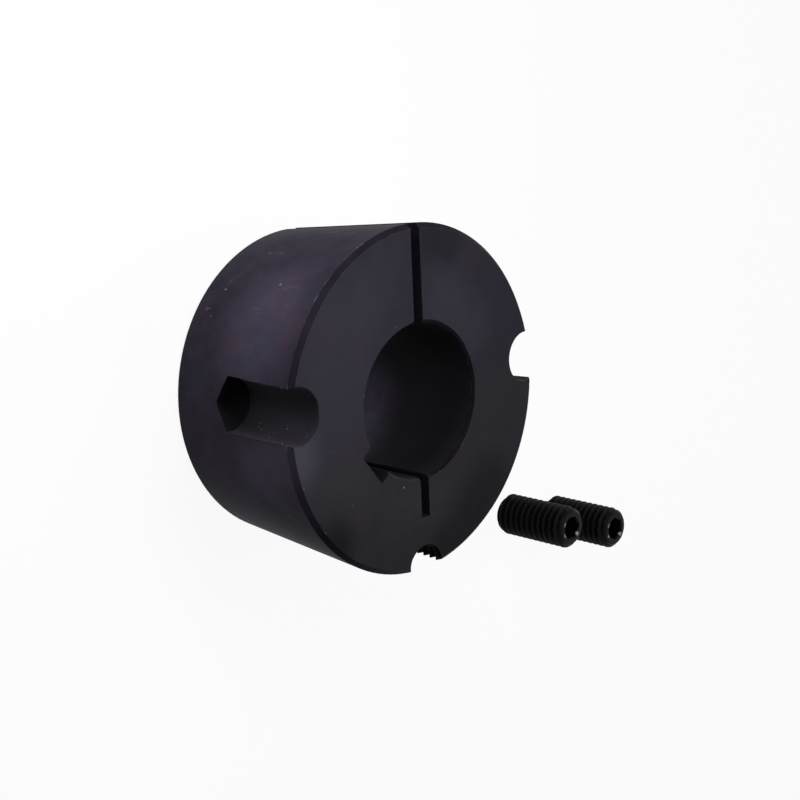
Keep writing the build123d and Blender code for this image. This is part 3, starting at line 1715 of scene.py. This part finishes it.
@dataclass
class Studio:
    """The pale floor, the soft lights and the camera."""

    floor_reach: float = 3.0
    floor_tone: Colour = (236, 236, 238)
    floor_glow: float = 1.08
    floor_show: float = 0.86
    room_strength: float = 0.03
    aim: Point = (-7.5 * MM, 1.7 * MM, 44.45 * MM)
    heart: Point = (-7.5 * MM, 1.7 * MM, 30.0 * MM)
    camera_reach: float = 324.5 * MM
    camera_turn: float = 162.17
    camera_rise: float = 42.90
    camera_roll: float = math.radians(99.9)
    lens: float = 61.52
    softboxes: Tuple[Softbox, ...] = (
        Softbox("near", power=0.085, width=0.06, turn=115, rise=58, reach=0.14),
        Softbox("side", power=0.35, width=0.1, turn=100, rise=5, reach=0.35),
        Softbox("front", power=0.13, width=0.1, turn=135, rise=5, reach=0.35),
        Softbox("far", power=0.86, width=0.35, turn=0, rise=60, reach=0.6),
    )

    def build(self) -> None:
        """Set up everything that isn't the object."""
        self._floor()
        self._world()
        for softbox in self.softboxes:
            softbox.hang(self.heart)
        self._camera()

    def _floor(self) -> None:
        """Lay the floor under the small end."""
        work = bmesh.new()
        bmesh.ops.create_grid(work, x_segments=1, y_segments=1, size=self.floor_reach)
        mesh = bpy.data.meshes.new("floor")
        work.to_mesh(mesh)
        work.free()
        floor = add_mesh("floor", mesh)
        made = new_material("pale_floor")
        graph = Graph(made.node_tree)
        lit = graph.node("ShaderNodeBsdfDiffuse", inputs={"Color": tone(self.floor_tone)})
        inputs = {"Color": WHITE, "Strength": self.floor_glow}
        glow = graph.node("ShaderNodeEmission", inputs=inputs)
        share = self.floor_show * self._seen(graph)
        graph.show(graph.node("ShaderNodeMixShader", inputs={0: share, 1: lit, 2: glow}))
        mesh.materials.append(made)

    @staticmethod
    def _seen(graph: Graph) -> Socket:
        """Tell the camera's view, straight or in a reflection, from other light.

        Args:
            graph: The tree of a material or of the world.

        Returns:
            1 to the view, and 0 to other light.
        """
        path = graph.add("ShaderNodeLightPath").outputs
        kinds = ("Is Camera Ray", "Is Glossy Ray", "Is Transmission Ray")
        straight, mirrored, through = (Socket(graph, path[kind]) for kind in kinds)
        return straight.at_least(mirrored).at_least(through)

    def _world(self) -> None:
        """Fill the room with a little even light, and show it white."""
        world = bpy.data.worlds.new("studio")
        world.use_nodes = True
        graph = Graph(world.node_tree)
        strength = self._seen(graph).at_least(self.room_strength)
        inputs = {"Color": WHITE, "Strength": strength}
        room = graph.node("ShaderNodeBackground", inputs=inputs)
        graph.add("ShaderNodeOutputWorld", inputs={"Surface": room})
        bpy.context.scene.world = world

    def _camera(self) -> None:
        """Stand the camera and turn it, so that the split is at the top of the view."""
        lens = bpy.data.cameras.new("camera")
        lens.lens = self.lens
        lens.clip_start = 0.01
        camera = bpy.data.objects.new("camera", lens)
        out = towards(self.camera_turn, self.camera_rise)
        place = Vector(self.aim) + out * self.camera_reach
        turn = out.to_track_quat("Z", "Y").to_matrix() @ Matrix.Rotation(self.camera_roll, 3, "Z")
        camera.matrix_world = Matrix.Translation(place) @ turn.to_4x4()
        bpy.context.scene.collection.objects.link(camera)
        bpy.context.scene.camera = camera


def main() -> None:
    """Build the studio and the object, and write how large it is."""
    logging.basicConfig(level=logging.INFO, format="%(message)s")
    bpy.context.scene.view_settings.view_transform = "Standard"
    sizes = bush_sizes()
    Studio().build()
    iron = BlackIron(sizes).material()
    pieces = TaperBush(sizes, iron, BareIron().material()).build()
    steel = BlackSteel()
    for node, turn in SOCKET_TURNS.items():
        pieces.append(GrubScrew(node, steel, math.radians(turn)).build())
    for piece in pieces:
        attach(piece, BODY)
        log.info("%s: %d faces", piece.name, len(piece.data.polygons))


if __name__ == "__main__":
    main()
